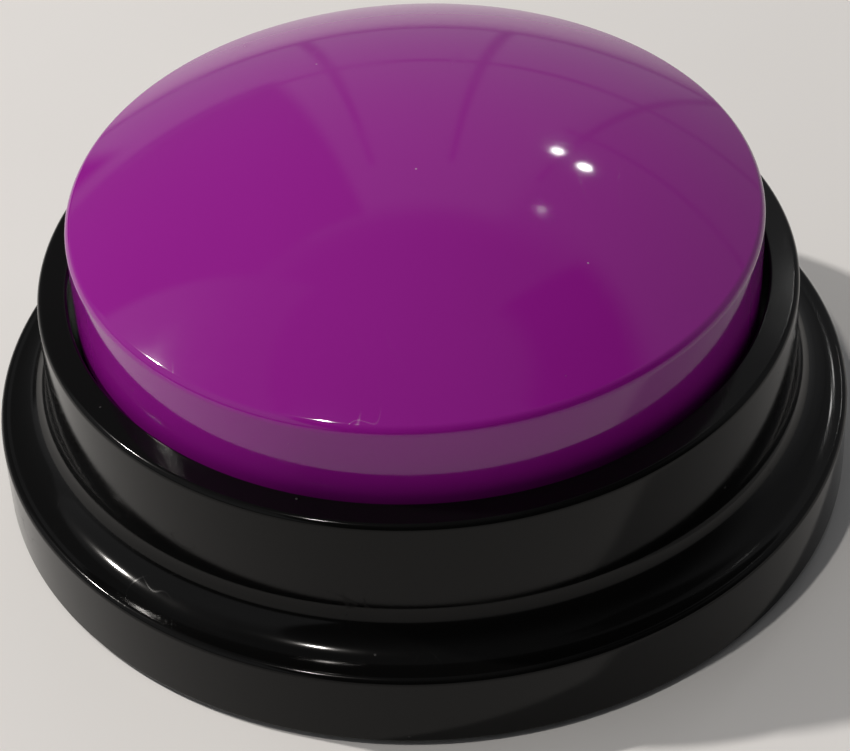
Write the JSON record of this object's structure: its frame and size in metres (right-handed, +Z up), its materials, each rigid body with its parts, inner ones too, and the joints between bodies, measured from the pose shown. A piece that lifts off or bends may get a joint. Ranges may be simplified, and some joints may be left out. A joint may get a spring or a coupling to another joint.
{
  "type": "quiz buzzer",
  "caption": "Round tabletop answer buzzer: purple domed press cap standing in a black two-step plastic base with battery door, speaker and switch inside",
  "frame": {"origin": "centre of the base at the plane that the rubber feet stand on", "axes": "+Z up along the button's travel, -Y the front (speaker side), +X the right"},
  "size_m": [0.09, 0.09, 0.0417],
  "materials": {
    "cap_plastic": "purple injection-moulded plastic with a polished surface",
    "case_plastic": "black injection-moulded plastic with a polished surface",
    "cover_plastic": "black plastic with a fine matt texture",
    "foot_rubber": "soft black rubber",
    "spring_steel": "zinc-plated spring wire",
    "screw_steel": "zinc-plated steel",
    "contact_steel": "nickel-plated spring steel",
    "cell_jacket": "printed plain jacket over a steel can",
    "board_laminate": "green lacquered laminate",
    "chip_epoxy": "black potting resin",
    "capacitor_sleeve": "dark shrink sleeve",
    "switch_plastic": "black plastic",
    "basket_steel": "plated pressed steel",
    "magnet_ferrite": "ground sintered ferrite",
    "cone_film": "pressed polymer film",
    "coil_copper": "enamelled copper wire",
    "lead_red": "red wire insulation",
    "lead_black": "black wire insulation"
  },
  "bodies": {
    "housing": {"upper_housing": "case_plastic", "base_plate": "cover_plastic", "rubber_feet": "foot_rubber", "return_spring_right": "spring_steel", "return_spring_left": "spring_steel", "return_spring_front": "spring_steel", "case_screws": "screw_steel", "board_screws": "screw_steel", "speaker_screws": "screw_steel", "battery_front": "cell_jacket", "battery_back": "cell_jacket", "positive_contact": "contact_steel", "negative_contact": "contact_steel", "bridge_contact": "contact_steel", "circuit_board": "board_laminate", "chip_cover": "chip_epoxy", "board_chips": "chip_epoxy", "capacitor": "capacitor_sleeve", "switch_body": "switch_plastic", "switch_cover": "contact_steel", "switch_pins": "contact_steel", "speaker_basket": "basket_steel", "speaker_magnet": "magnet_ferrite", "speaker_cone": "cone_film", "speaker_coil": "coil_copper", "speaker_terminals": "board_laminate", "battery_lead_positive": "lead_red", "battery_lead_negative": "lead_black", "speaker_lead_positive": "lead_red", "speaker_lead_negative": "lead_black"},
    "button": {"button_cap": "cap_plastic"},
    "plunger": {"switch_plunger": "switch_plastic"},
    "door": {"battery_door": "cover_plastic", "door_screw_washer": "switch_plastic"},
    "door_fastener": {"door_screw": "screw_steel"}
  },
  "joints": [
    {"name": "button_press", "type": "slide", "parent": "housing", "child": "button", "axis": [0, 0, -1], "range_m": [0, 0.003], "stiffness_N_per_m": 600, "springref_m": -0.002, "deforming": ["return_spring_right", "return_spring_left", "return_spring_front"]},
    {"name": "switch_press", "type": "slide", "parent": "housing", "child": "plunger", "axis": [0, 0, -1], "range_m": [0, 0.0003]},
    {"name": "battery_door_open", "type": "hinge", "parent": "housing", "child": "door", "pos_m": [0.0246, 0.003, 0.0006], "axis": [0, -1, 0], "range_deg": [0, 70]},
    {"name": "door_screw_turn", "type": "hinge", "parent": "door", "child": "door_fastener", "pos_m": [-0.029, 0.003, 0.0025], "axis": [0, 0, -1], "continuous": true}
  ],
  "couplings": [
    {"joint": "switch_press", "follows": "button_press", "ratio": 0.1}
  ]
}
